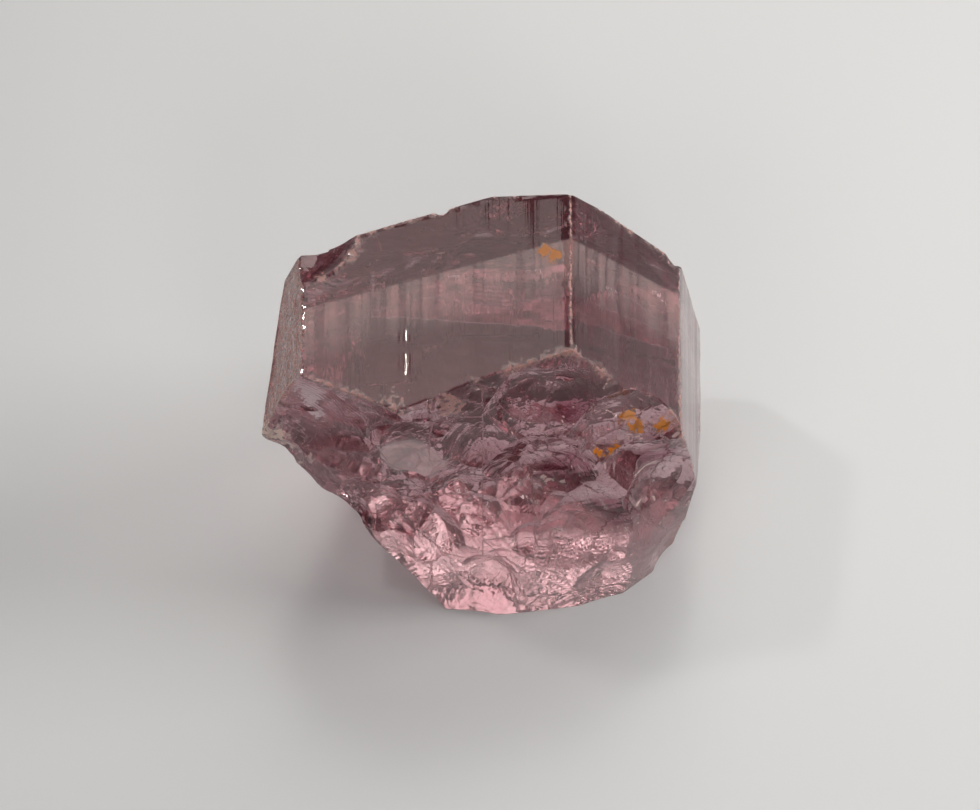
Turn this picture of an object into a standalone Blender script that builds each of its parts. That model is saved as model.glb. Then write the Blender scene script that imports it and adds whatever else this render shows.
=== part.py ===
"""Rough pink tourmaline: one broken length of a finely ridged prism, resting on a broken flat.

The crystal grew as a prism whose long axis runs from front to back and rises a little to the back.
Three of its grown faces are left on top. Its ends, flanks and underside are fractures, each one a
wavy plane, with shell-shaped hollows where chips came away.
Sizes are in millimetres up to the point where a mesh is written, which is in metres.
"""
import math

import bmesh
import bpy
import numpy as np
from mathutils import Matrix, Vector

# Driving dimensions, in millimetres and degrees
MM = 0.001
HEART = Vector((0.054, 0.1285, 5.4))
AXIS_RISE = 10.0
PRISM_LENGTH = 19.0
RIDGE_WIDTH = 0.62
RIDGE_DEPTH = 0.028
WAVE_LENGTHS = (3.1, 1.6)
WAVE_SHARES = (0.68, 0.32)
CUTTER_SPAN = 20.0
CUTTER_THICKNESS = 10.0
CUTTER_STEP = 0.8
SLIVER = 0.02
BALL_DETAIL = 5

# Grown faces round the long axis: turn from straight up, distance from the heart
PRISM_FACES = (
    (-8.0, 5.46),
    (52.0, 5.48),
    (82.0, 5.70),
    (112.0, 6.84),
    (172.0, 6.90),
    (-128.0, 6.90),
    (-74.0, 6.24),
)

# Fractures: compass direction faced (0 is +X, 90 is +Y), lift above level, distance from the heart,
# height of the waves
BREAKS = {
    "front_middle": (-83.6, 5.2, 3.86, 0.10),
    "front_left": (-115.9, -1.0, 4.45, 0.12),
    "front_right": (-50.1, -1.9, 5.48, 0.10),
    "flank_left_under": (-150.8, -30.4, 5.36, 0.12),
    "flank_left_back": (156.8, -13.4, 4.82, 0.12),
    "flank_right": (-7.0, -8.4, 6.40, 0.05),
    "back_middle": (88.8, 11.3, 3.46, 0.05),
    "back_left": (104.8, 10.9, 3.32, 0.05),
    "back_right": (78.1, 11.1, 3.98, 0.05),
    "back_under": (84.0, -16.3, 4.70, 0.10),
    "base": (0.0, -90.0, 5.40, 0.0),
    "slope_left": (-78.3, 22.0, 4.70, 0.10),
    "slope_right": (-66.5, 19.0, 4.78, 0.10),
}

# Shell-shaped hollows: middle of the mouth measured from the heart, compass direction and lift it
# faces, half width, half height, depth
HOLLOWS = {
    "plum_bowl": ((1.9, -3.1, 3.7), -84.0, 20.0, 1.50, 1.30, 0.34),
    "right_bowl": ((3.8, -2.9, 2.2), -62.0, 16.0, 1.90, 1.40, 0.40),
    "ledge_shell": ((4.4, -3.2, 1.0), -62.0, -2.0, 1.40, 1.00, 0.34),
    "middle_shell": ((1.7, -3.7, 0.9), -86.0, 2.0, 1.90, 2.00, 0.50),
    "ripple_shell": ((-2.1, -3.9, 2.2), -98.0, 8.0, 1.30, 1.55, 0.42),
    "left_shell": ((-4.5, -2.8, 1.7), -121.0, 4.0, 1.60, 2.20, 0.42),
    "left_tip": ((-6.0, -2.0, -0.4), -140.0, -24.0, 0.80, 1.00, 0.22),
    "left_low_shell": ((-3.8, -3.1, -1.0), -108.0, -8.0, 1.20, 1.30, 0.28),
    "dark_shell": ((-0.9, -4.0, 0.0), -76.0, 8.0, 1.25, 1.05, 0.30),
    "oval_shell": ((-2.3, -3.8, -2.5), -124.0, -2.0, 0.75, 1.55, 0.22),
    "low_middle": ((-0.4, -4.2, -3.3), -96.0, -8.0, 1.70, 1.40, 0.24),
    "hackle_shell": ((2.5, -3.8, -2.0), -78.0, -4.0, 1.90, 1.30, 0.34),
    "low_right_foot": ((3.4, -3.9, -4.3), -72.0, -8.0, 1.60, 1.00, 0.22),
    "right_shell": ((4.8, -3.1, -1.0), -46.0, 2.0, 1.40, 2.20, 0.36),
    "right_foot": ((5.3, -2.4, -4.5), -38.0, -16.0, 0.90, 0.90, 0.24),
    "top_left_chip": ((-4.7, 0.5, 5.1), 128.0, 62.0, 1.00, 0.75, 0.20),
    "top_right_chip": ((5.5, 2.5, 2.4), 52.0, 30.0, 0.70, 0.60, 0.16),
    "back_bowl": ((1.2, 3.9, -0.6), 88.0, 6.0, 2.60, 2.90, 0.42),
    "back_high": ((-1.6, 3.2, 3.2), 104.0, 14.0, 2.00, 1.60, 0.22),
    "back_left_bowl": ((-3.5, 2.4, -0.9), 134.0, -4.0, 1.90, 2.30, 0.50),
    "right_chip": ((6.1, 0.8, -3.5), -4.0, -12.0, 1.30, 1.10, 0.26),
    "under_left_bowl": ((-4.1, -1.0, -2.8), -160.0, -34.0, 2.10, 1.70, 0.42),
}


def clear_scene():
    for old in list(bpy.data.objects):
        bpy.data.objects.remove(old, do_unlink=True)


def direction(compass, lift):
    """Unit vector from a compass direction and a lift above level, both in degrees."""
    turn, rise = math.radians(compass), math.radians(lift)
    return Vector((math.cos(turn) * math.cos(rise), math.sin(turn) * math.cos(rise), math.sin(rise)))


def facing(normal, middle):
    """Matrix that carries local Z to a direction and the local origin to a place."""
    return Matrix.Translation(middle) @ normal.to_track_quat("Z", "Y").to_matrix().to_4x4()


def lattice_values(cells, seed):
    """A fixed value from -1 to 1 for each whole-number cell of a lattice."""
    i, j, k = (cells[:, axis].astype(np.int64) for axis in range(3))
    mixed = (i * 73856093) ^ (j * 19349663) ^ (k * 83492791) ^ (seed * 2654435761)
    mixed = (mixed ^ (mixed >> 13)) * 1274126177 & 0x7FFFFFFF
    mixed = (mixed ^ (mixed >> 15)) & 0xFFFF
    return mixed / 32767.5 - 1.0


def waves(points, length, seed):
    """Smooth lattice noise from -1 to 1 whose features are about one length wide."""
    scaled = points / length
    low = np.floor(scaled)
    part = scaled - low
    part = part * part * (3.0 - 2.0 * part)
    total = np.zeros(len(points))
    for corner in np.ndindex(2, 2, 2):
        share = np.prod(np.where(np.array(corner) == 1, part, 1.0 - part), axis=1)
        total += share * lattice_values(low + np.array(corner), seed)
    return total


def fracture_relief(points, height, seed):
    """How far a fracture stands out of its plane: long waves plus shorter ones."""
    total = np.zeros(len(points))
    for count, (length, share) in enumerate(zip(WAVE_LENGTHS, WAVE_SHARES)):
        total += share * waves(points, length, seed + 17 * count)
    return height * total


def new_object(name, bm, hidden=False):
    """Write a mesh drawn in millimetres to an object in metres."""
    bmesh.ops.scale(bm, vec=(MM, MM, MM), verts=bm.verts)
    bmesh.ops.recalc_face_normals(bm, faces=bm.faces)
    mesh = bpy.data.meshes.new(name)
    bm.to_mesh(mesh)
    bm.free()
    shape = bpy.data.objects.new(name, mesh)
    bpy.context.scene.collection.objects.link(shape)
    if hidden:
        shape.hide_render = True
        shape.display_type = "WIRE"
    return shape


def cross_section():
    """Outline of the prism seen along its axis: straight faces stepped by shallow ridges."""
    turns = [math.radians(turn) for turn, reach in PRISM_FACES]
    normals = [np.array((math.sin(turn), math.cos(turn))) for turn in turns]
    reaches = [reach for turn, reach in PRISM_FACES]
    count = len(PRISM_FACES)
    corners = []
    for here in range(count):
        after = (here + 1) % count
        pair = np.array((normals[here], normals[after]))
        corners.append(np.linalg.solve(pair, (reaches[here], reaches[after])))
    outline = []
    rng = np.random.RandomState(7)
    for here in range(count):
        start, end = corners[here - 1], corners[here]
        length = np.linalg.norm(end - start)
        ridges = max(2, int(length / RIDGE_WIDTH))
        stops = (np.arange(ridges + 1) + 0.0) / ridges
        stops[1:-1] += rng.uniform(-0.3, 0.3, ridges - 1) / ridges
        depths = rng.uniform(0.0, RIDGE_DEPTH, ridges)
        for ridge in range(ridges):
            inset = normals[here] * depths[ridge]
            first = start + (end - start) * stops[ridge] - inset
            last = start + (end - start) * (stops[ridge + 1] - 0.12 / ridges) - inset
            outline += [first, last]
    return outline


def prism_blank():
    """The unbroken prism: its ridged outline extruded along the long axis."""
    rise = math.radians(AXIS_RISE)
    across = Vector((1.0, 0.0, 0.0))
    up = Vector((0.0, -math.sin(rise), math.cos(rise)))
    along = Vector((0.0, math.cos(rise), math.sin(rise)))
    bm = bmesh.new()
    start = HEART - along * (PRISM_LENGTH / 2)
    ring = [bm.verts.new(start + across * p + up * q) for p, q in cross_section()]
    end_face = bm.faces.new(ring)
    grown = bmesh.ops.extrude_face_region(bm, geom=[end_face], use_keep_orig=True)
    moved = [item for item in grown["geom"] if isinstance(item, bmesh.types.BMVert)]
    bmesh.ops.translate(bm, vec=along * PRISM_LENGTH, verts=moved)
    return new_object("tourmaline_crystal", bm)


def break_cutter(name, compass, lift, reach, height, seed):
    """A thick slab whose inner side is a wavy fracture plane."""
    normal = direction(compass, lift)
    place = facing(normal, HEART + normal * reach)
    steps = max(1, round(CUTTER_SPAN / CUTTER_STEP)) if height else 1
    bm = bmesh.new()
    bmesh.ops.create_grid(bm, x_segments=steps, y_segments=steps, size=CUTTER_SPAN / 2, matrix=place)
    if height:
        flat = np.array([vert.co[:] for vert in bm.verts])
        for vert, rise in zip(bm.verts, fracture_relief(flat, height, seed)):
            vert.co += normal * rise
    grown = bmesh.ops.extrude_face_region(bm, geom=bm.faces[:], use_keep_orig=True)
    moved = [item for item in grown["geom"] if isinstance(item, bmesh.types.BMVert)]
    bmesh.ops.translate(bm, vec=normal * CUTTER_THICKNESS, verts=moved)
    return new_object("cutter_" + name, bm, hidden=True)


def hollow_cutter(name, mouth, compass, lift, half_width, half_height, depth):
    """A flattened ball that sinks to a depth under its mouth, which is an ellipse."""
    normal = direction(compass, lift)
    width_radius = (half_width ** 2 + depth ** 2) / (2 * depth)
    height_radius = width_radius * half_height / half_width
    middle = HEART + Vector(mouth) + normal * (width_radius - depth)
    bm = bmesh.new()
    bmesh.ops.create_icosphere(bm, subdivisions=BALL_DETAIL, radius=1.0)
    stretch = Matrix.Diagonal((width_radius, height_radius, width_radius, 1.0))
    bmesh.ops.transform(bm, matrix=facing(normal, middle) @ stretch, verts=bm.verts)
    return new_object("hollow_" + name, bm, hidden=True)


def subtract(shape, cutter):
    boolean = shape.modifiers.new(cutter.name, "BOOLEAN")
    boolean.operation = "DIFFERENCE"
    boolean.solver = "EXACT"
    boolean.object = cutter


def weld_slivers(shape):
    """Close the needle-thin triangles that the cuts leave along crossing edges."""
    weld = shape.modifiers.new("weld_slivers", "WELD")
    weld.merge_threshold = SLIVER * MM


def pink_tourmaline():
    """Clear pink crystal with a glassy surface."""
    material = bpy.data.materials.new("pink_tourmaline")
    material.use_nodes = True
    shader = material.node_tree.nodes["Principled BSDF"]
    shader.inputs["Base Color"].default_value = (0.42, 0.20, 0.23, 1.0)
    shader.inputs["Roughness"].default_value = 0.15
    shader.inputs["Metallic"].default_value = 0.0
    return material


def build():
    clear_scene()
    crystal = prism_blank()
    crystal.data.materials.append(pink_tourmaline())
    for seed, (name, values) in enumerate(BREAKS.items()):
        subtract(crystal, break_cutter(name, *values, seed))
    for name, values in HOLLOWS.items():
        subtract(crystal, hollow_cutter(name, *values))
    weld_slivers(crystal)


build()
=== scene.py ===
"""Looks of the rough pink tourmaline: the stone's fine surface, its material, a pale floor and soft light."""

import math

import bpy
import numpy as np
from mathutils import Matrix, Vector


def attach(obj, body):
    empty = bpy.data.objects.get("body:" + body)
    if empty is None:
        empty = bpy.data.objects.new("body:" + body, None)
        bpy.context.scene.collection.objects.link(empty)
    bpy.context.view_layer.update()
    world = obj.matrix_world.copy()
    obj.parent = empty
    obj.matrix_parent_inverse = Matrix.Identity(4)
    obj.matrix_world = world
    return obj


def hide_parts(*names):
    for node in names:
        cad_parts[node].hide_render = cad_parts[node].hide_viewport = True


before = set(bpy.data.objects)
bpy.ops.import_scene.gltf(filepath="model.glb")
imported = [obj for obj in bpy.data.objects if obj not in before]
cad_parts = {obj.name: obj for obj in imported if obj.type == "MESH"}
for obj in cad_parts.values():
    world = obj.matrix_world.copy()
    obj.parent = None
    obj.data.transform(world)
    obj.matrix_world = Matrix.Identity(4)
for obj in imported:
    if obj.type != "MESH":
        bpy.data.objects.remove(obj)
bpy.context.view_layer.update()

# Sizes in millimetres, angles in degrees, places in the frame of the solid
MM = 0.001
HEART = np.array((0.054, 0.1285, 5.4))
AXIS_RISE = 10.0
WAVE_LENGTHS = (3.1, 1.6)
WAVE_SHARES = (0.68, 0.32)

# Fine surface: grid lines along one side of the cube, and how far the directions lean to the front
GRID = 128
FRONT_LEAN = 0.22
FLAKE_COUNT = 110

# Facets of broken ground: size, height, and the shape of one facet in parts of its size
FACET_SIZE = 1.5
FACET_HEIGHT = 0.62
FACET_STRETCH = np.array((1.0, 1.0, 0.8))
FACET_JITTER = 0.42
FACET_STEP = 0.15
FACET_HOLLOW = 0.3
FACET_TILT = 0.75
CRACK_START = 0.8
CHIP_SIZE = 0.55
CHIP_HEIGHT = 0.20
LEAST_TAKEN = 0.08
CALM_SHELLS = ("ripple_shell", "plum_bowl", "oval_shell", "back_bowl")

# Low relief: sizes across and depths
CRUMB_SIZE = 0.24
CRUMB_HEIGHT = 0.008
TERRACE_SIZES = (0.55, 0.21)
TERRACE_LENGTH = 26.0
TERRACE_HEIGHT = 0.006
PIT_SIZE = 0.5
PIT_DEPTH = 0.10
WEAR_SIZE = 0.22
WEAR_DEPTH = 0.05

# Widths over which one kind of ground passes into the next
CREASE_WIDTH = 0.12
EDGE_WIDTH = 0.10
RIM_WIDTH = 0.35
ROOM_WIDTH = 1.2
FOOT_HEIGHT = 3.5

# The worn face is the last of the grown faces
WORN_FACE = 6
WORN_SHARE = 0.85

# Material: sizes of its patterns, width and length of a streak, hackles round a crack's start
STREAK_SIZES = ((0.10, 5.0), (0.32, 9.0))
GRAIN_SIZE = 0.16
PATCH_SIZE = 1.3
ARC_SPACING = 0.17
HACKLE_COUNT = 13.0
STREAK_DEPTH = 0.025
HACKLE_DEPTH = 0.05
ARC_DEPTH = 0.0022
GRAIN_DEPTH = 0.08
BAND_SLANT = 0.2
BAND_START = 0.5
REFRACTION = 1.63
ABSORPTION_PER_METRE = 140.0
ABSORPTION_COLOR = (0.643, 0.280, 0.350, 1.0)

# Stage and camera: the floor lies a little under the stone, so that the two surfaces stay apart
FLOOR_HALF = 0.6
FLOOR_DROP = 2e-5
CAMERA_LIFT = 58.0
CAMERA_DISTANCE = 240.0
CAMERA_TARGET = (0.20, -0.36, 5.03)
SENSOR_WIDTH = 36.0
IMAGE_WIDTH = 980
PIXELS_PER_MM = 35.58

# Light crosses the clear stone many times before it leaves
LIGHT_BOUNCES = 12
LAMP_COLOR = (1.0, 0.955, 0.90)
LAMP_TARGET = np.array((0.0, 0.0, 0.005))

# Lamps: compass direction and lift, then in metres the distance, width and height, then brightness
LAMPS = {
    "key_right": (8.0, 40.0, 0.090, 0.036, 0.032, 9.0),
    "low_right": (2.0, 19.0, 0.12, 0.034, 0.028, 9.0),
    "window_back": (74.0, 54.0, 0.115, 0.088, 0.075, 2.4),
    "ceiling": (165.0, 70.0, 0.20, 0.072, 0.072, 1.3),
    "window_front": (-114.0, 44.0, 0.20, 0.10, 0.05, 2.9),
    "lamp_front": (-74.0, 38.0, 0.20, 0.045, 0.05, 6.5),
    "lamp_left": (158.0, 56.0, 0.22, 0.016, 0.014, 80.0),
}

# Grown faces round the long axis: turn from straight up, distance from the heart
PRISM_FACES = (
    (-8.0, 5.46),
    (52.0, 5.48),
    (82.0, 5.70),
    (112.0, 6.84),
    (172.0, 6.90),
    (-128.0, 6.90),
    (-74.0, 6.24),
)

# Fractures: compass direction faced (0 is +X, 90 is +Y), lift above level, distance from the heart,
# height of the waves
BREAKS = {
    "front_middle": (-83.6, 5.2, 3.86, 0.10),
    "front_left": (-115.9, -1.0, 4.45, 0.12),
    "front_right": (-50.1, -1.9, 5.48, 0.10),
    "flank_left_under": (-150.8, -30.4, 5.36, 0.12),
    "flank_left_back": (156.8, -13.4, 4.82, 0.12),
    "flank_right": (-7.0, -8.4, 6.40, 0.05),
    "back_middle": (88.8, 11.3, 3.46, 0.05),
    "back_left": (104.8, 10.9, 3.32, 0.05),
    "back_right": (78.1, 11.1, 3.98, 0.05),
    "back_under": (84.0, -16.3, 4.70, 0.10),
    "base": (0.0, -90.0, 5.40, 0.0),
    "slope_left": (-78.3, 22.0, 4.70, 0.10),
    "slope_right": (-66.5, 19.0, 4.78, 0.10),
}

# Shell-shaped hollows: middle of the mouth measured from the heart, compass direction and lift it
# faces, half width, half height, depth
HOLLOWS = {
    "plum_bowl": ((1.9, -3.1, 3.7), -84.0, 20.0, 1.50, 1.30, 0.34),
    "right_bowl": ((3.8, -2.9, 2.2), -62.0, 16.0, 1.90, 1.40, 0.40),
    "ledge_shell": ((4.4, -3.2, 1.0), -62.0, -2.0, 1.40, 1.00, 0.34),
    "middle_shell": ((1.7, -3.7, 0.9), -86.0, 2.0, 1.90, 2.00, 0.50),
    "ripple_shell": ((-2.1, -3.9, 2.2), -98.0, 8.0, 1.30, 1.55, 0.42),
    "left_shell": ((-4.5, -2.8, 1.7), -121.0, 4.0, 1.60, 2.20, 0.42),
    "left_tip": ((-6.0, -2.0, -0.4), -140.0, -24.0, 0.80, 1.00, 0.22),
    "left_low_shell": ((-3.8, -3.1, -1.0), -108.0, -8.0, 1.20, 1.30, 0.28),
    "dark_shell": ((-0.9, -4.0, 0.0), -76.0, 8.0, 1.25, 1.05, 0.30),
    "oval_shell": ((-2.3, -3.8, -2.5), -124.0, -2.0, 0.75, 1.55, 0.22),
    "low_middle": ((-0.4, -4.2, -3.3), -96.0, -8.0, 1.70, 1.40, 0.24),
    "hackle_shell": ((2.5, -3.8, -2.0), -78.0, -4.0, 1.90, 1.30, 0.34),
    "low_right_foot": ((3.4, -3.9, -4.3), -72.0, -8.0, 1.60, 1.00, 0.22),
    "right_shell": ((4.8, -3.1, -1.0), -46.0, 2.0, 1.40, 2.20, 0.36),
    "right_foot": ((5.3, -2.4, -4.5), -38.0, -16.0, 0.90, 0.90, 0.24),
    "top_left_chip": ((-4.7, 0.5, 5.1), 128.0, 62.0, 1.00, 0.75, 0.20),
    "top_right_chip": ((5.5, 2.5, 2.4), 52.0, 30.0, 0.70, 0.60, 0.16),
    "back_bowl": ((1.2, 3.9, -0.6), 88.0, 6.0, 2.60, 2.90, 0.42),
    "back_high": ((-1.6, 3.2, 3.2), 104.0, 14.0, 2.00, 1.60, 0.22),
    "back_left_bowl": ((-3.5, 2.4, -0.9), 134.0, -4.0, 1.90, 2.30, 0.50),
    "right_chip": ((6.1, 0.8, -3.5), -4.0, -12.0, 1.30, 1.10, 0.26),
    "under_left_bowl": ((-4.1, -1.0, -2.8), -160.0, -34.0, 2.10, 1.70, 0.42),
}

# Places on the stone: middle in the frame of the solid, radius
STAINS = (
    ((4.10, -2.30, 7.35), 0.36),
    ((4.30, -2.40, 6.95), 0.36),
    ((4.98, -2.23, 6.92), 0.28),
    ((3.75, -2.80, 6.45), 0.34),
    ((3.35, -2.90, 6.60), 0.30),
    ((-0.64, -3.40, 5.60), 0.24),
    ((-0.50, -3.50, 5.25), 0.22),
    ((1.72, 0.70, 11.40), 0.26),
    ((1.95, 0.55, 11.38), 0.26),
)
# Painted plum shade: patches tinted dark where the view through the stone is dark
PAINTED_SHADE_PATCHES = (
    ((2.5, -2.6, 8.95), 1.25),
    ((2.2, -3.1, 5.90), 1.20),
    ((-1.5, -3.8, 5.10), 0.75),
    ((3.9, -3.3, 4.20), 1.25),
    ((4.9, -2.3, 5.60), 1.10),
    ((-4.6, -2.2, 6.60), 0.60),
)
MILKY_PATCHES = (
    ((-1.9, -3.4, 7.00), 1.15),
    ((0.7, -3.2, 6.60), 0.42),
    ((1.3, -3.3, 5.20), 0.42),
    ((4.1, -2.6, 6.80), 0.42),
)
# Painted glints: warm-white spots at the left tip, where light leaving the stone shows
PAINTED_GLINT_PATCHES = (
    ((-5.85, -1.95, 5.95), 0.55),
    ((-5.50, -2.10, 5.40), 0.42),
    ((-5.25, -2.25, 4.95), 0.30),
)
BATTERED_PATCHES = (
    ((-0.9, -3.45, 9.75), 0.75),
    ((-2.5, -3.50, 9.95), 0.65),
    # The last patch whitens the top left chip in place of its shine: painted reflection
    ((-4.45, 0.40, 10.4), 0.50),
)
RIDGED_PATCHES = (
    ((-2.15, -2.30, 10.28), 0.40),
    ((-2.20, -1.50, 10.42), 0.35),
    ((-3.10, -2.45, 10.10), 0.22),
)


def unit(vectors):
    return vectors / np.linalg.norm(vectors, axis=-1, keepdims=True)


def direction(compass, lift):
    """Unit vector from a compass direction and a lift above level, both in degrees."""
    turn, rise = math.radians(compass), math.radians(lift)
    return np.array((math.cos(turn) * math.cos(rise), math.sin(turn) * math.cos(rise), math.sin(rise)))


ACROSS = np.array((1.0, 0.0, 0.0))
ALONG = direction(90.0, AXIS_RISE)
UP = np.cross(ACROSS, ALONG)
GROWN_NORMALS = np.array([
    ACROSS * math.sin(math.radians(turn)) + UP * math.cos(math.radians(turn)) for turn, reach in PRISM_FACES
])
GROWN_REACHES = np.array([reach for turn, reach in PRISM_FACES])
CHIP_TURN = np.column_stack((direction(0.0, -52.0) * 0.45, direction(0.0, 38.0), direction(90.0, 0.0)))


def lattice_values(cells, seed):
    """A fixed value from -1 to 1 for each whole-number cell of a lattice."""
    i, j, k = (cells[:, axis].astype(np.int64) for axis in range(3))
    mixed = (i * 73856093) ^ (j * 19349663) ^ (k * 83492791) ^ (seed * 2654435761)
    mixed = (mixed ^ (mixed >> 13)) * 1274126177 & 0x7FFFFFFF
    mixed = (mixed ^ (mixed >> 15)) & 0xFFFF
    return mixed / 32767.5 - 1.0


def waves(points, length, seed):
    """Smooth lattice noise from -1 to 1 whose features are about one length wide."""
    scaled = points / length
    low = np.floor(scaled)
    part = scaled - low
    part = part * part * (3.0 - 2.0 * part)
    total = np.zeros(len(points))
    for corner in np.ndindex(2, 2, 2):
        share = np.prod(np.where(np.array(corner) == 1, part, 1.0 - part), axis=1)
        total += share * lattice_values(low + np.array(corner), seed)
    return total


def fracture_relief(points, height, seed):
    """How far a fracture stands out of its plane: long waves plus shorter ones."""
    total = np.zeros(len(points))
    for count, (length, share) in enumerate(zip(WAVE_LENGTHS, WAVE_SHARES)):
        total += share * waves(points, length, seed + 17 * count)
    return height * total


def facets(points, size, seed):
    """Broken ground made of small facets that meet in sharp ridges, and where each facet's crack began.

    One seed lies in each cell of a lattice, off its middle. Its facet's level is a random step, less a
    hollow times the squared distance from the seed, plus a tilt times the way from the seed. Each point
    takes the highest level of the facets round it. The crack began beside the seed, and the second value
    is the way from there to the point, in millimetres.
    """
    scaled = points / size
    cell = np.floor(scaled)
    highest = np.full(len(points), -9.0)
    fan = np.zeros((len(points), 3))
    for step in np.ndindex(3, 3, 3):
        here = cell + np.array(step) - 1.0
        jitter = np.stack([lattice_values(here, seed + axis) for axis in range(3)], 1)
        away = scaled - here - 0.5 - FACET_JITTER * jitter
        tilt = np.stack([lattice_values(here, seed + 3 + axis) for axis in range(3)], 1)
        level = FACET_STEP * lattice_values(here, seed + 6) - FACET_HOLLOW * np.sum(away ** 2, axis=1)
        level += FACET_TILT * np.sum(tilt * away, axis=1)
        higher = level > highest
        highest[higher] = level[higher]
        fan[higher] = size * (away + CRACK_START * unit(tilt))[higher]
    return np.clip(highest, -1.0, 1.0), fan


def front_rich_grid(count):
    """Directions on a cube's surface grid, closer together towards the front, and its quads.

    A tangent warp evens the cube's cells. Adding a constant vector towards the front and scaling back
    to length one then draws the directions together there.
    """
    line = np.arange(count + 1)
    a, b = (part.ravel() for part in np.meshgrid(line, line, indexing="ij"))
    zero, full = np.zeros_like(a), np.full_like(a, count)
    sides = ((zero, b, a), (full, a, b), (a, zero, b), (b, full, a), (b, a, zero), (a, b, full))
    lattice = np.concatenate([np.stack(side, 1) for side in sides])
    key = (lattice[:, 0] * (count + 1) + lattice[:, 1]) * (count + 1) + lattice[:, 2]
    first, where = np.unique(key, return_index=True, return_inverse=True)[1:]
    corner = (np.arange(count)[:, None] * (count + 1) + np.arange(count)[None, :]).ravel()
    quad = np.stack((corner, corner + count + 1, corner + count + 2, corner + 1), 1)
    quads = np.concatenate([quad + side * (count + 1) ** 2 for side in range(6)])
    rays = unit(np.tan((lattice[first] / count - 0.5) * math.pi / 2))
    return unit(rays + FRONT_LEAN * direction(-90.0, 40.0)), where.reshape(-1)[quads]


def hollow_ball(mouth, facing, half_width, half_height, depth):
    """Middle, axes and radii of the flattened ball that leaves a hollow with the given mouth."""
    width_radius = (half_width ** 2 + depth ** 2) / (2 * depth)
    height_radius = width_radius * half_height / half_width
    middle = np.asarray(mouth) + facing * (width_radius - depth)
    axes = np.array(Vector(facing).to_track_quat("Z", "Y").to_matrix())
    return middle, axes, np.array((width_radius, height_radius, width_radius))


def ball_entry(rays, middle, axes, radii):
    """Distance from the heart to where each ray first meets the ball; huge where it misses.

    The ray and the middle are scaled by the radii, which turns the ball into a unit sphere, and the
    smaller root of the square equation is taken.
    """
    ray = (rays @ axes) / radii
    to_middle = (middle @ axes) / radii
    a = np.sum(ray ** 2, axis=1)
    b = ray @ to_middle
    inside = b * b - a * (to_middle @ to_middle - 1.0)
    entry = np.full(len(rays), 1e9)
    hit = (inside > 0) & (b > 0)
    entry[hit] = (b[hit] - np.sqrt(inside[hit])) / a[hit]
    return entry


def plane_distance(rays, normal, reach):
    facing = rays @ normal
    return np.where(facing > 1e-3, reach / np.maximum(facing, 1e-3), 1e9)


def coarse_surface(rays, balls):
    """Distance from the heart, number of the wall met, and distances to the two nearest grown faces
    and the nearest fracture.

    The stone is what lies inside every plane and outside every ball, so the nearest crossing counts.
    """
    grown = np.stack([plane_distance(rays, n, r) for n, r in zip(GROWN_NORMALS, GROWN_REACHES)], 1)
    order = np.sort(grown, axis=1)
    nearest_grown, next_grown = order[:, 0], order[:, 1]
    owner = np.argmin(grown, axis=1)
    broken = np.full(len(rays), 1e9)
    broken_owner = np.zeros(len(rays), int)
    for number, (compass, lift, reach, height) in enumerate(BREAKS.values()):
        normal = direction(compass, lift)
        distance = plane_distance(rays, normal, reach)
        near = distance < np.minimum(nearest_grown, broken) * 1.25
        if height:
            places = rays[near] * distance[near, None] + HEART
            relief = fracture_relief(places, height, number)
            distance[near] += relief / (rays[near] @ normal)
        closer = distance < broken
        broken[closer] = distance[closer]
        broken_owner[closer] = 20 + number
    for number, (middle, axes, radii, cone) in enumerate(balls):
        near = rays @ unit(middle) > cone
        entry = np.full(len(rays), 1e9)
        entry[near] = ball_entry(rays[near], middle, axes, radii)
        closer = entry < broken
        broken[closer] = entry[closer]
        broken_owner[closer] = 40 + number
    whole = broken < nearest_grown
    owner[whole] = broken_owner[whole]
    return np.minimum(broken, nearest_grown), owner, nearest_grown, next_grown, broken


def named_balls():
    balls = []
    for mouth, compass, lift, half_width, half_height, depth in HOLLOWS.values():
        balls.append((*hollow_ball(mouth, direction(compass, lift), half_width, half_height, depth), -1.0))
    return balls


def flake_balls(count):
    """Small chips scattered over the fractures, most of them on the front, tilted off the ground they
    sit on, so that each has one sharp lip and runs out on the other side."""
    rng = np.random.RandomState(11)
    rays = unit(rng.normal(size=(count * 8, 3)) + np.array((0.0, -1.1, -0.1)))
    rays = rays[rays[:, 2] > -0.75]
    distance, owner, grown = coarse_surface(rays, named_balls())[:3]
    room = (grown - distance)[owner >= 20][:count]
    rays, distance = rays[owner >= 20][:count], distance[owner >= 20][:count]
    nudge = 0.04
    side = unit(np.cross(rays, np.array((0.0, 0.0, 1.0))))
    over = np.cross(side, rays)
    places = rays * distance[:, None]
    slopes = []
    for way in (side, over):
        turned = unit(rays + nudge * way)
        slopes.append(turned * coarse_surface(turned, named_balls())[0][:, None] - places)
    normals = unit(np.cross(slopes[0], slopes[1]))
    normals *= np.sign(np.sum(normals * rays, axis=1))[:, None]
    facing = unit(normals + rng.normal(size=normals.shape) * 0.20)
    widths = np.minimum(np.exp(rng.normal(-1.1, 0.45, len(rays))), np.minimum(0.10 + 0.30 * room, 0.60))
    stretch = rng.uniform(0.6, 1.5, len(rays))
    shares = rng.uniform(0.14, 0.30, len(rays))
    balls = []
    for place, way, width, factor, share in zip(places, facing, widths, stretch, shares):
        middle, axes, radii = hollow_ball(place, way, width, width * factor, width * share)
        spread = 1.6 * width * max(1.0, factor) / np.linalg.norm(place)
        cone = math.cos(min(1.2, spread + 0.1))
        balls.append((middle, axes, radii, cone))
    return balls


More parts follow.
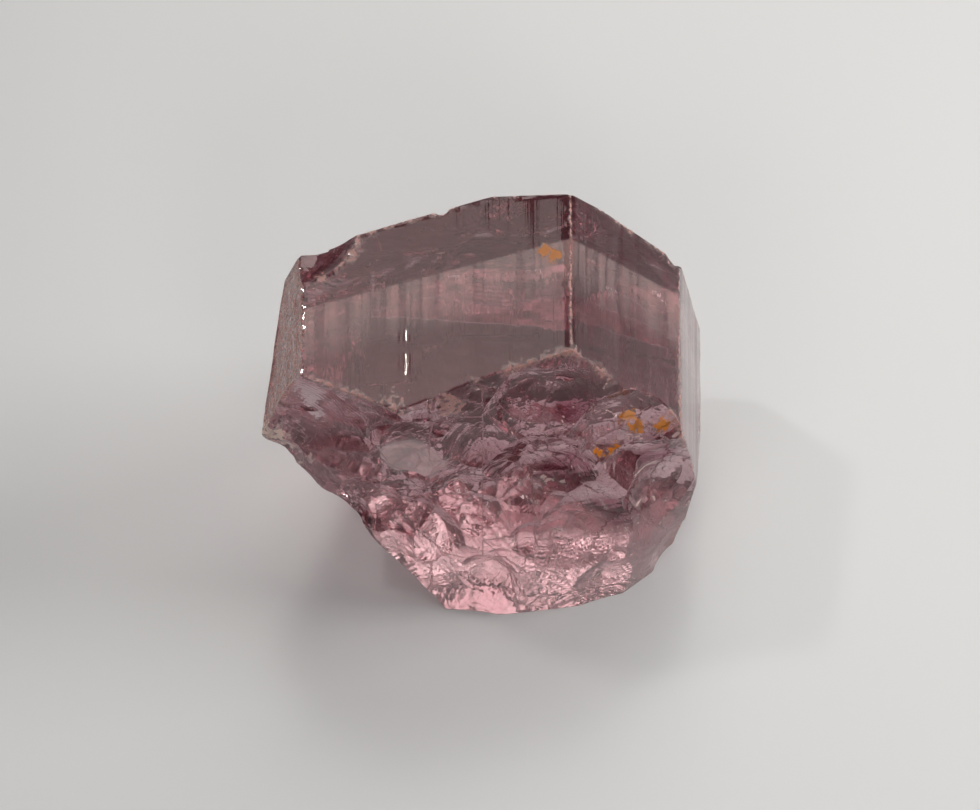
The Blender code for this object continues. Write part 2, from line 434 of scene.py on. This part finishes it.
def snap_to_creases(rays, quads, owner, balls):
    """Slide grid points onto the creases between walls, so that every crease runs through points.

    Each grid line whose ends lie on two walls is halved again and again towards the crossing, and its
    nearer end moves there.
    """
    lines = np.concatenate([quads[:, (k, (k + 1) % 4)] for k in range(4)])
    lines = np.unique(np.sort(lines, axis=1), axis=0)
    lines = lines[owner[lines[:, 0]] != owner[lines[:, 1]]]
    low, high = rays[lines[:, 0]], rays[lines[:, 1]]
    first = owner[lines[:, 0]]
    for halving in range(7):
        middle = unit(low + high)
        same = coarse_surface(middle, balls)[1] == first
        low = np.where(same[:, None], middle, low)
        high = np.where(same[:, None], high, middle)
    spots = unit(low + high)
    gaps = [np.linalg.norm(spots - rays[lines[:, end]], axis=1) for end in range(2)]
    mover = np.where(gaps[0] < gaps[1], lines[:, 0], lines[:, 1])
    order = np.argsort(-np.minimum(*gaps))
    moved = rays.copy()
    moved[mover[order]] = spots[order]
    snapped = np.zeros(len(rays), bool)
    snapped[mover] = True
    return moved, snapped


def split_quads(points, quads, snapped):
    """Two triangles from each quad, cut along the crease where one runs through it, or else along
    the shorter diagonal."""
    on = snapped[quads]
    first, second = on[:, 0] & on[:, 2], on[:, 1] & on[:, 3]
    lengths = [np.linalg.norm(points[quads[:, k]] - points[quads[:, k + 2]], axis=1) for k in range(2)]
    use_first = np.where(first != second, first, lengths[0] < lengths[1])[:, None]
    one = np.where(use_first, quads[:, (0, 1, 2)], quads[:, (0, 1, 3)])
    two = np.where(use_first, quads[:, (0, 2, 3)], quads[:, (1, 2, 3)])
    return np.concatenate((one, two))


def stone_surface():
    """Points, triangles and surface values of the stone.

    The coarse surface comes first. Then material is taken off along each ray. Grown faces lose low
    terraces parallel to the long axis. Fractures lose two sizes of facets and fine crumbs, the facets
    the less the closer a point is to a grown face, to the foot or to a smooth shell. The worn face loses
    shallow pits, and the edges between grown faces lose wear.
    """
    rays, quads = front_rich_grid(GRID)
    balls = named_balls() + flake_balls(FLAKE_COUNT)
    owner = coarse_surface(rays, balls)[1]
    rays, snapped = snap_to_creases(rays, quads, owner, balls)
    distance, owner, grown, next_grown, broken = coarse_surface(rays, balls)
    points = rays * distance[:, None] + HEART
    on_grown = np.clip(0.5 + (broken - grown) / CREASE_WIDTH, 0.0, 1.0)
    edge = np.exp(-(next_grown - grown) / EDGE_WIDTH) * on_grown
    rim = np.exp(-np.abs(broken - grown) / RIM_WIDTH)
    side = unit(points - HEART) @ GROWN_NORMALS.T
    face = np.argmin(np.where(side > 1e-3, GROWN_REACHES / np.maximum(side, 1e-3), 1e9), axis=1)
    worn = on_grown * (face == WORN_FACE)
    off_base = np.clip((points[:, 2] - 0.02) / 0.25, 0.0, 1.0)

    crystal = np.stack((points @ ACROSS, points @ UP, points @ ALONG / TERRACE_LENGTH), 1)
    level = 3.2 * waves(crystal, TERRACE_SIZES[0], 61) + 1.6 * waves(crystal, TERRACE_SIZES[1], 62)
    terrace = np.floor(level) + np.clip((level - np.floor(level)) * 3.0, 0.0, 1.0)
    take = on_grown * TERRACE_HEIGHT * (2.5 + 0.5 * terrace)

    large, fan = facets(points * FACET_STRETCH, FACET_SIZE, 71)
    small = facets(points @ CHIP_TURN, CHIP_SIZE, 81)[0]
    patchy = np.clip(0.5 + 1.1 * waves(points, 2.2, 73), 0.1, 1.0)
    room = np.clip((grown - distance) / ROOM_WIDTH, 0.12, 1.0)
    room *= np.clip(points[:, 2] / FOOT_HEIGHT, 0.12, 1.0)
    for name in CALM_SHELLS:
        mouth, half_width, half_height = (HOLLOWS[name][place] for place in (0, 3, 4))
        away = np.linalg.norm(points - HEART - np.array(mouth), axis=1) / (0.5 * (half_width + half_height))
        room *= np.clip((away - 0.55) / 0.45, 0.15, 1.0)
    ground = room * (LEAST_TAKEN + (FACET_HEIGHT * large + CHIP_HEIGHT * small) * patchy)
    crumbs = CRUMB_HEIGHT * (0.5 + 0.5 * waves(points, CRUMB_SIZE, 72))
    take += (1.0 - on_grown) * off_base * np.maximum(ground + crumbs, 0.0)

    take += PIT_DEPTH * worn * off_base * (0.5 + 0.5 * facets(points, PIT_SIZE, 91)[0])
    take += WEAR_DEPTH * edge * off_base * (0.25 + 0.75 * (0.5 + 0.5 * waves(points, WEAR_SIZE, 74)))
    points = rays * (distance - take)[:, None] + HEART
    points[:, 2] = np.maximum(points[:, 2], 0.0)
    values = {"grown": on_grown, "edge": edge, "worn": WORN_SHARE * worn, "rim": rim, "fan": fan}
    return points, split_quads(points, quads, snapped), values


def mesh_object(name, points, faces):
    count, sides = faces.shape
    mesh = bpy.data.meshes.new(name)
    mesh.vertices.add(len(points))
    mesh.vertices.foreach_set("co", (points * MM).astype(np.float32).ravel())
    mesh.loops.add(count * sides)
    mesh.loops.foreach_set("vertex_index", faces.astype(np.int32).ravel())
    mesh.polygons.add(count)
    mesh.polygons.foreach_set("loop_start", np.arange(0, count * sides, sides, dtype=np.int32))
    mesh.update(calc_edges=True)
    mesh.validate()
    shape = bpy.data.objects.new(name, mesh)
    bpy.context.scene.collection.objects.link(shape)
    return shape


def srgb(code):
    """Linear colour from an sRGB hex code."""
    parts = [int(code[i:i + 2], 16) / 255 for i in (1, 3, 5)]
    return tuple(p / 12.92 if p <= 0.04045 else ((p + 0.055) / 1.055) ** 2.4 for p in parts) + (1.0,)


def add(tree, kind, inputs=(), **settings):
    """Add a node with its settings. Each input, by order or by name, is given a value or is linked to a
    socket or to another node's first output."""
    node = tree.nodes.new("ShaderNode" + kind)
    for key, setting in settings.items():
        setattr(node, key, setting)
    for key, source in inputs.items() if isinstance(inputs, dict) else enumerate(inputs):
        source = source.outputs[0] if isinstance(source, bpy.types.Node) else source
        if isinstance(source, bpy.types.NodeSocket):
            tree.links.new(source, node.inputs[key])
        else:
            node.inputs[key].default_value = source
    return node


def patches(tree, place, ragged, spots, soft):
    """Patches round middles given in millimetres: 1 inside, 0 outside, ragged at the outline.

    Each is the radius, made uneven by a noise, less the distance from the middle, over the soft width.
    """
    total = 0.0
    for middle, radius in spots:
        middle = tuple(part * MM for part in middle)
        away = add(tree, "VectorMath", (place, middle), operation="DISTANCE").outputs["Value"]
        uneven = add(tree, "Math", (ragged, radius * MM * 1.3, radius * MM * 0.35), operation="MULTIPLY_ADD")
        inside = add(tree, "Math", (uneven, away), operation="SUBTRACT")
        mask = add(tree, "Math", (inside, 1.0 / (soft * MM)), operation="MULTIPLY", use_clamp=True)
        total = add(tree, "Math", (mask, total), operation="MAXIMUM")
    return total


def elbaite():
    """Pink elbaite tourmaline, as grown on its faces and as broken elsewhere.

    Clear glassy stone that swallows green and blue light first, so long paths look plum and short ones
    pale pink. Grown faces carry fine streaks along the axis. Broken ones carry hackles, which are fine
    steps that fan out from where each crack began, and arcs round that spot; pale threads along the
    hackles are partly real whitening and partly painted glints. Next to the crystal's edges they are
    crushed to a dull white-pink, and a few cracks hold orange iron stains. Painted shade: the dark band
    at the far end and the plum tint higher up and in patches, which stand for inner walls and the
    shaded floor seen through the stone. Painted light: the pale zone before the band, a painted
    reflection; the paler foot, lit from the floor; and white glints at the left tip. The milk-white
    patches stand for what lies inside.
    """
    material = bpy.data.materials.new("elbaite_natural_pink")
    material.use_nodes = True
    tree = material.node_tree
    tree.nodes.clear()

    place = add(tree, "TexCoord").outputs["Object"]
    split = add(tree, "SeparateXYZ", (place,))
    across, along, height = (split.outputs[axis] for axis in "XYZ")
    grown, edge, rim, worn = (
        add(tree, "Attribute", attribute_name=name).outputs["Fac"]
        for name in ("grown", "edge", "rim", "worn")
    )
    fan = add(tree, "Attribute", attribute_name="fan").outputs["Vector"]
    broken = add(tree, "Math", (1.0, grown), operation="SUBTRACT", use_clamp=True)

    # Patterns: streaks along the axis, grain, larger patches, hackles that fan out, and arcs
    turned = add(tree, "Mapping", {"Vector": place, "Rotation": (-math.radians(AXIS_RISE), 0.0, 0.0)})
    lines = []
    for width, length in STREAK_SIZES:
        scale = (1 / (width * MM), 1 / (length * MM), 1 / (width * MM))
        stretched = add(tree, "Mapping", {"Vector": turned, "Scale": scale})
        lines.append(add(tree, "TexNoise", {"Vector": stretched, "Scale": 1.0, "Detail": 1.0}))
    streak = add(tree, "Math", lines, operation="ADD")
    grain = add(tree, "TexNoise", {
        "Vector": place, "Scale": 1 / (GRAIN_SIZE * MM), "Detail": 1.0, "Roughness": 0.62,
    })
    patch = add(tree, "TexNoise", {"Vector": place, "Scale": 1 / (PATCH_SIZE * MM), "Detail": 1.0})
    spread = add(tree, "VectorMath", (fan,), operation="NORMALIZE")
    hackles = add(tree, "TexNoise", {
        "Vector": spread, "Scale": HACKLE_COUNT, "Detail": 2.0, "Roughness": 0.6,
    })
    reach = add(tree, "VectorMath", (fan,), operation="LENGTH").outputs["Value"]
    phase = add(tree, "Math", (reach, 2 * math.pi / ARC_SPACING), operation="MULTIPLY")
    arcs = add(tree, "Math", (phase,), operation="SINE")

    # Crushed ground: next to the grown faces, on edges, on battered places and on the worn face
    uneven = add(tree, "MapRange", (patch, 0.38, 0.62, 0.35, 1.1))
    crushed = add(tree, "Math", (rim, uneven), operation="MULTIPLY")
    for cause in (edge, patches(tree, place, grain, BATTERED_PATCHES, 0.5), worn):
        crushed = add(tree, "Math", (crushed, cause), operation="MAXIMUM")
    crushed = add(tree, "Math", (crushed, grain), operation="MULTIPLY")
    crushed = add(tree, "MapRange", (crushed, 0.26, 0.50))

    # Pale threads along the hackles, where the ground is torn and not in the smooth shell: partly the real
    # whitening of fine cracks, partly painted glints
    torn = add(tree, "MapRange", (patch, 0.46, 0.58))
    torn = add(tree, "Math", (torn, broken), operation="MULTIPLY")
    shell = patches(tree, place, patch, MILKY_PATCHES[:1], 0.3)
    outside = add(tree, "MapRange", (shell, 0.0, 1.0, 1.0, 0.15))
    torn = add(tree, "Math", (torn, outside), operation="MULTIPLY")
    threads_and_glints = add(tree, "MapRange", (hackles, 0.60, 0.68))
    threads_and_glints = add(tree, "Math", (threads_and_glints, torn), operation="MULTIPLY")

    # Milk-white places; the foot, paler towards the base, which is painted light from the floor; and painted
    # glints at the left tip
    clouded = patches(tree, place, patch, MILKY_PATCHES, 0.3)
    painted_foot_light = add(tree, "MapRange", (height, 2.8 * MM, 0.4 * MM, 0.0, 0.55))
    painted_foot_light = add(tree, "Math", (painted_foot_light, broken), operation="MULTIPLY")
    milky_and_foot_light = add(tree, "Math", (clouded, painted_foot_light), operation="MAXIMUM")
    lined = add(tree, "MapRange", (hackles, 0.36, 0.60, 0.5, 1.0))
    milky_and_foot_light = add(tree, "Math", (milky_and_foot_light, lined), operation="MULTIPLY")
    speckled = add(tree, "MapRange", (grain, 0.35, 0.5))
    painted_tip_glints = patches(tree, place, grain, PAINTED_GLINT_PATCHES, 0.3)
    painted_tip_glints = add(tree, "Math", (painted_tip_glints, speckled), operation="MULTIPLY")

    # The far end's painted dark band (painted shade) starts along a slanting line, and a pale painted
    # reflection fades in before it
    band = add(tree, "Math", (across, -BAND_SLANT, along), operation="MULTIPLY_ADD")
    band = add(tree, "Math", (band, BAND_START * MM), operation="SUBTRACT")
    # Painted reflection: a pale pink tint on the grown faces just before the dark band
    painted_sheen = add(tree, "MapRange", (band, -1.7 * MM, -0.4 * MM, 0.05, 1.0))
    for part in (
        add(tree, "MapRange", (band, 0.06 * MM, 0.0)),
        grown,
        add(tree, "MapRange", (streak, 0.8, 1.2, 0.12, 0.55)),
    ):
        painted_sheen = add(tree, "Math", (painted_sheen, part), operation="MULTIPLY")

    # Relief too fine for the mesh: pattern, where it shows, depth
    ridged = patches(tree, place, grain, RIDGED_PATCHES, 0.25)
    ridged = add(tree, "MapRange", (ridged, 0.0, 1.0, 0.2, 1.0))
    ridged = add(tree, "Math", (ridged, grown), operation="MULTIPLY")
    gritty = add(tree, "Math", (worn, 0.6, 0.4), operation="MULTIPLY_ADD")
    gritty = add(tree, "Math", (crushed, gritty), operation="MULTIPLY")
    normal = add(tree, "Bump", {"Height": streak, "Strength": ridged, "Distance": STREAK_DEPTH * MM})
    for pattern, where, depth in (
        (hackles, torn, HACKLE_DEPTH),
        (arcs, broken, ARC_DEPTH),
        (grain, gritty, GRAIN_DEPTH),
    ):
        relief = {"Height": pattern, "Strength": where, "Distance": depth * MM, "Normal": normal}
        normal = add(tree, "Bump", relief)

    # Painted plum shade: higher up on the broken faces, where the stone is thick, at the far end and in
    # patches
    painted_shade_high = add(tree, "MapRange", (height, 3.5 * MM, 7.0 * MM, 0.0, 0.45))
    painted_shade_high = add(tree, "Math", (painted_shade_high, broken), operation="MULTIPLY")
    painted_dark_band = add(tree, "MapRange", (band, 0.0, 0.3 * MM, 0.0, 0.33))
    painted_dark_band = add(tree, "Math", (painted_dark_band, grown), operation="MULTIPLY")
    painted_plum_shade = patches(tree, place, patch, PAINTED_SHADE_PATCHES, 0.7)
    for cause in (painted_shade_high, painted_dark_band):
        painted_plum_shade = add(tree, "Math", (painted_plum_shade, cause), operation="MAXIMUM")

    stained = patches(tree, place, grain, STAINS, 0.10)
    color = (1.0, 0.97, 0.98, 1.0)
    for mask, code in (
        (painted_plum_shade, "#8a4a5e"),
        (painted_sheen, "#e8958a"),
        (milky_and_foot_light, "#e6c4c6"),
        (threads_and_glints, "#efd8d4"),
        (crushed, "#d6a49c"),
        (worn, "#e0a49a"),
        (painted_tip_glints, "#ffe6d6"),
        (stained, "#f0921e"),
    ):
        color = add(tree, "Mix", {0: mask, 6: color, 7: srgb(code)}, data_type="RGBA").outputs[2]

    cloudy = add(tree, "Math", (crushed, threads_and_glints), operation="MAXIMUM")
    dull = cloudy
    for cause in (stained, milky_and_foot_light, painted_sheen):
        dull = add(tree, "Math", (dull, cause), operation="MAXIMUM")
    clear = 1.0
    for mask, least in ((dull, 0.55), (clouded, 0.6), (worn, 0.75), (painted_tip_glints, 0.3)):
        passed = add(tree, "MapRange", (mask, 0.0, 1.0, 1.0, least))
        clear = add(tree, "Math", (passed, clear), operation="MULTIPLY")

    shader = add(tree, "BsdfPrincipled", {
        "Base Color": color,
        "Roughness": add(tree, "MapRange", (cloudy, 0.0, 1.0, 0.04, 0.34)),
        "Transmission Weight": clear,
        "Normal": normal,
        "IOR": REFRACTION,
    })
    volume = add(tree, "VolumeAbsorption", {"Density": ABSORPTION_PER_METRE, "Color": ABSORPTION_COLOR})
    add(tree, "OutputMaterial", {"Surface": shader, "Volume": volume})
    return material


def make_stone():
    points, faces, values = stone_surface()
    stone = mesh_object("tourmaline_stone", points, faces)
    for name, numbers in values.items():
        wide = numbers.ndim == 2
        layer = stone.data.attributes.new(name, "FLOAT_VECTOR" if wide else "FLOAT", "POINT")
        layer.data.foreach_set("vector" if wide else "value", numbers.astype(np.float32).ravel())
    stone.data.materials.append(elbaite())
    stone.data.shade_smooth()
    stone.data.set_sharp_from_angle(angle=math.radians(13))
    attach(stone, "root")
    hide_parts("tourmaline_crystal")


def make_floor():
    """A pale board, painted with a slight gloss, so that the stone shows faintly in it."""
    mesh = bpy.data.meshes.new("floor")
    corners = [(x * FLOOR_HALF, y * FLOOR_HALF, -FLOOR_DROP) for x, y in ((-1, -1), (1, -1), (1, 1), (-1, 1))]
    mesh.from_pydata(corners, [], [(0, 1, 2, 3)])
    floor = bpy.data.objects.new("floor", mesh)
    bpy.context.scene.collection.objects.link(floor)
    material = bpy.data.materials.new("white_painted_board")
    material.use_nodes = True
    shader = material.node_tree.nodes["Principled BSDF"]
    shader.inputs["Base Color"].default_value = srgb("#d4d7db")
    shader.inputs["Roughness"].default_value = 0.22
    floor.data.materials.append(material)


def soft_box(name, compass, lift, distance, width, height, radiance):
    """A rectangular lamp that faces the stone from a direction.

    Its power is the brightness of its face times pi times its area.
    """
    light = bpy.data.lights.new(name, "AREA")
    light.shape = "RECTANGLE"
    light.size, light.size_y = width, height
    light.energy = radiance * math.pi * width * height
    light.color = LAMP_COLOR
    lamp = bpy.data.objects.new(name, light)
    place = LAMP_TARGET + distance * direction(compass, lift)
    lamp.location = place
    lamp.rotation_euler = (Vector(LAMP_TARGET) - Vector(place)).to_track_quat("-Z", "Y").to_euler()
    bpy.context.scene.collection.objects.link(lamp)


def make_light():
    """Boxes to the right, windows behind and in front, a ceiling and a small lamp, in a dark room."""
    world = bpy.data.worlds.new("studio")
    world.use_nodes = True
    world.node_tree.nodes["Background"].inputs["Color"].default_value = (1.0, 1.0, 1.0, 1.0)
    world.node_tree.nodes["Background"].inputs["Strength"].default_value = 0.05
    bpy.context.scene.world = world
    for name, numbers in LAMPS.items():
        soft_box(name, *numbers)


def make_camera():
    """A long lens far back, at the photograph's viewing angle."""
    lift = math.radians(CAMERA_LIFT)
    back = Vector((0, -math.cos(lift), math.sin(lift)))
    camera_data = bpy.data.cameras.new("camera")
    camera_data.lens = SENSOR_WIDTH * PIXELS_PER_MM * CAMERA_DISTANCE / IMAGE_WIDTH
    camera_data.sensor_width = SENSOR_WIDTH
    camera_data.clip_start = 0.001
    camera = bpy.data.objects.new("camera", camera_data)
    camera.location = (Vector(CAMERA_TARGET) + back * CAMERA_DISTANCE) * MM
    camera.rotation_euler = back.to_track_quat("Z", "Y").to_euler()
    bpy.context.scene.collection.objects.link(camera)
    bpy.context.scene.camera = camera


make_stone()
make_floor()
make_light()
make_camera()
bpy.context.scene.view_settings.view_transform = "Standard"
bpy.context.scene.cycles.max_bounces = LIGHT_BOUNCES
bpy.context.scene.cycles.transmission_bounces = LIGHT_BOUNCES
bpy.context.scene.cycles.glossy_bounces = LIGHT_BOUNCES
